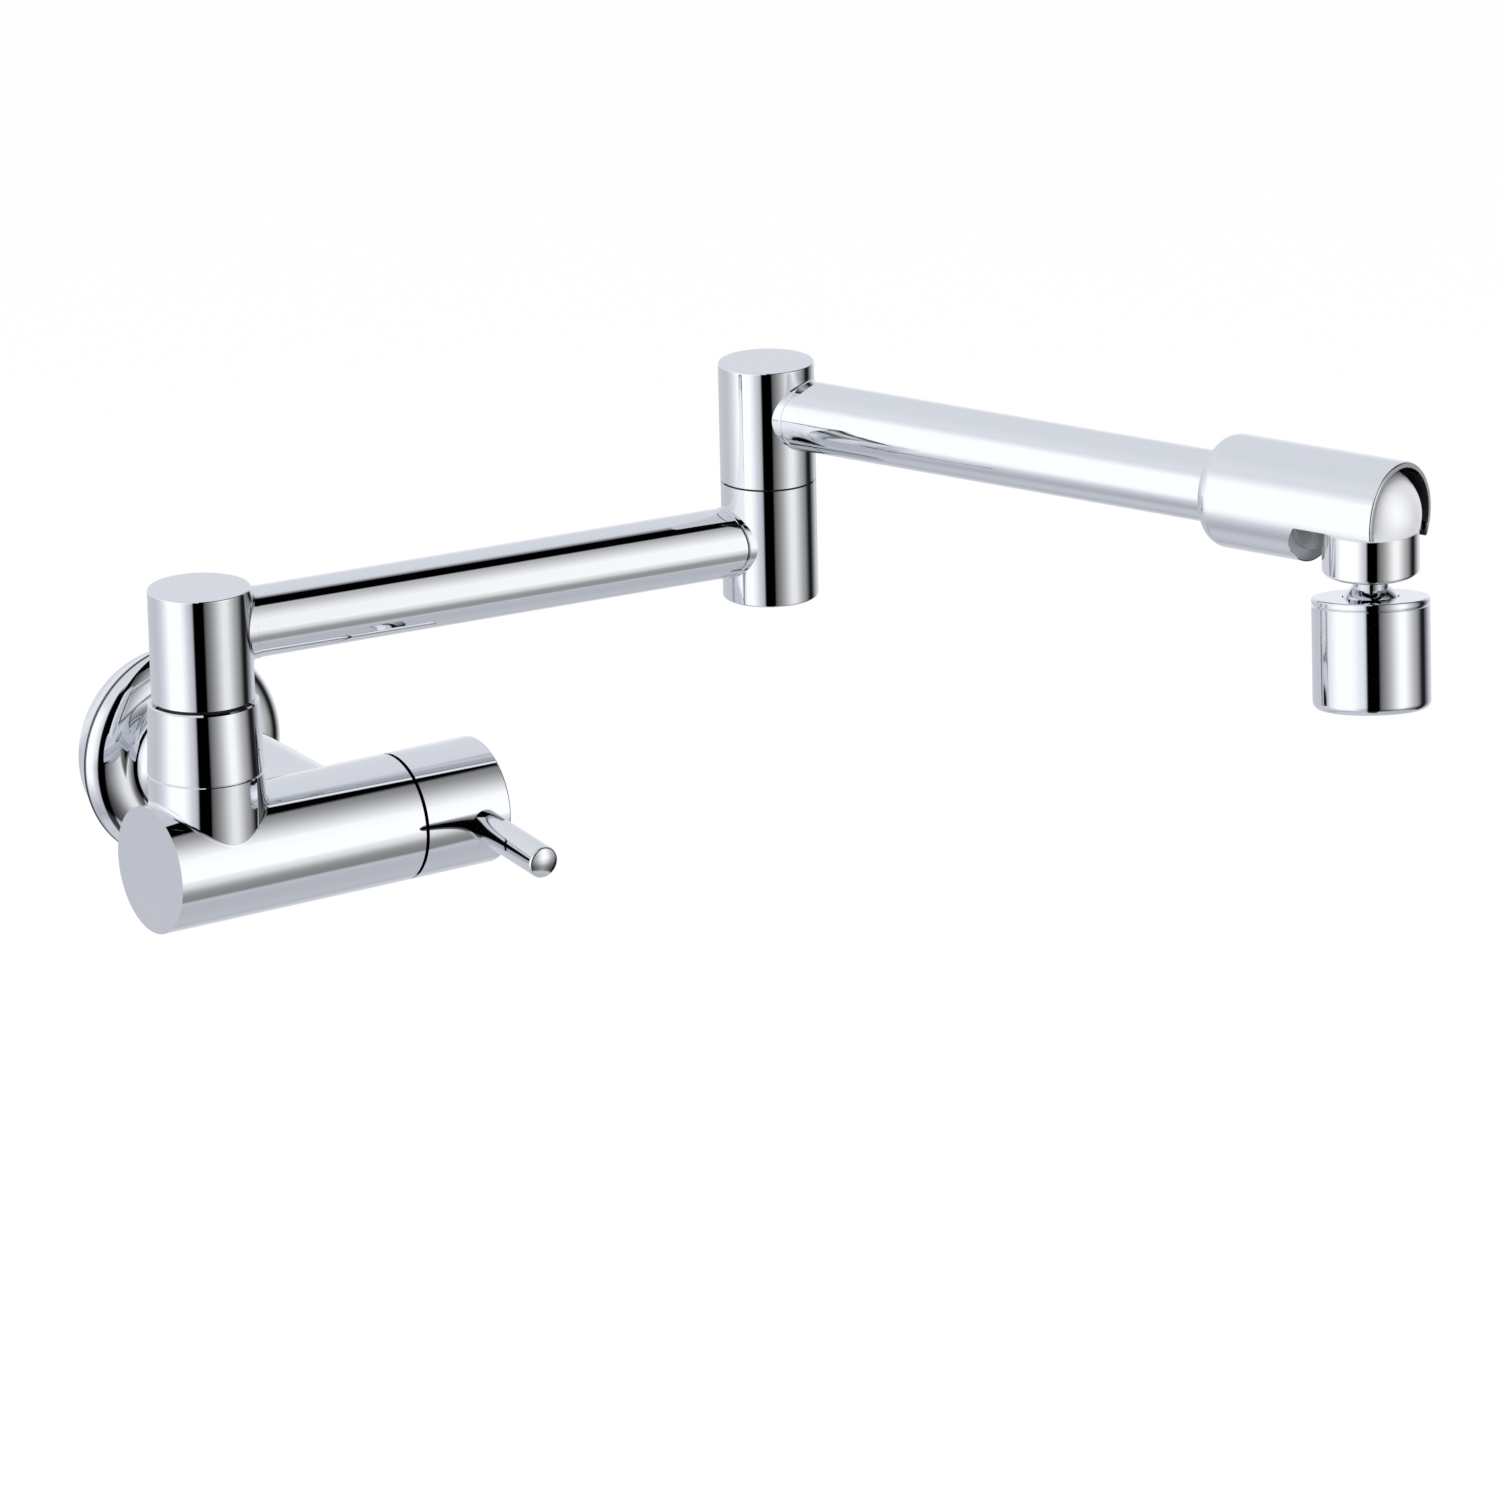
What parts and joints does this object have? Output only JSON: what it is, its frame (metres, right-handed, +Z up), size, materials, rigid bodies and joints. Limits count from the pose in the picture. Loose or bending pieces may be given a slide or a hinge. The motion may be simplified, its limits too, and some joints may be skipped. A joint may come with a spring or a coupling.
{
  "type": "wall-mounted kitchen faucet",
  "caption": "Chrome wall-mounted folding kitchen faucet with a lever valve, jointed swinging arms and a swivelling aerator at the tip.",
  "frame": {"origin": "where the axis of the inlet thread meets the wall plane, at the middle of the flange", "axes": "+Z up, +Y into the wall along the inlet thread, +X to the right for someone facing the wall"},
  "size_m": [0.3175, 0.3778, 0.163],
  "materials": {
    "chrome": "bright polished chrome plate",
    "brass": "machined",
    "steel": "plain stainless",
    "rubber": "matt black",
    "acetal": "black bearing plastic",
    "insert": "moulded grey",
    "ceramic": "lapped ceramic"
  },
  "bodies": {
    "valve": {"wall_gasket": "rubber", "wall_flange": "chrome", "flange_o_ring": "rubber", "valve_body": "chrome", "inlet_strainer": "steel", "cartridge_seal": "rubber", "fixed_disc": "ceramic", "cartridge_housing": "brass", "housing_o_ring": "rubber", "collar_nut": "chrome", "split_ring": "acetal", "post_washer": "acetal"},
    "handle": {"handle_hub": "chrome", "lever_rod": "chrome", "hub_grub_screw": "steel", "spindle": "brass", "moving_disc": "ceramic", "spindle_o_ring": "rubber", "spindle_clip": "steel"},
    "arm_1": {"post_sleeve": "chrome", "post_spigot": "brass", "post_o_rings": "rubber", "arm_1_tube": "chrome", "lower_elbow": "chrome", "elbow_spigot": "brass", "elbow_o_rings": "rubber", "elbow_washer": "acetal"},
    "arm_2": {"upper_elbow": "chrome", "elbow_set_screw": "steel", "arm_2_tube": "chrome", "tube_o_ring": "rubber", "tip_sleeve": "chrome", "nozzle_plate": "steel", "plate_o_ring": "rubber", "feed_nozzle": "brass"},
    "spout": {"outlet_ball": "chrome", "ball_seal": "rubber", "pivot_pins": "steel", "ball_stud": "chrome", "stud_washer": "rubber"},
    "swivel": {"swivel_ring": "acetal"},
    "aerator": {"aerator_cap": "chrome", "aerator_shell": "chrome", "aerator_cup": "acetal", "aerator_insert": "insert"}
  },
  "joints": [
    {"name": "handle_turn", "type": "hinge", "parent": "valve", "child": "handle", "pos_m": [0.03545, -0.1105, 0], "axis": [1, 0, 0], "range_deg": [0, 90]},
    {"name": "arm_1_swing", "type": "hinge", "parent": "valve", "child": "arm_1", "pos_m": [-0.0465, -0.1105, 0], "axis": [0, 0, 1], "range_deg": [-174, 6]},
    {"name": "arm_2_swing", "type": "hinge", "parent": "arm_1", "child": "arm_2", "pos_m": [0.148, -0.13026, 0], "axis": [0, 0, 1], "range_deg": [-102.5, 227.5]},
    {"name": "spout_swing", "type": "hinge", "parent": "arm_2", "child": "spout", "pos_m": [0.23008, -0.33652, 0.1142], "axis": [-0.9291, -0.3697, 0], "range_deg": [0, 90]},
    {"name": "aerator_spin", "type": "hinge", "parent": "spout", "child": "swivel", "pos_m": [0.23008, -0.33652, 0.0837], "axis": [0, 0, 1], "continuous": true},
    {"name": "aerator_tilt", "type": "hinge", "parent": "swivel", "child": "aerator", "pos_m": [0.23008, -0.33652, 0.0837], "axis": [0.8434, -0.5373, 0], "range_deg": [-7, 25]}
  ]
}
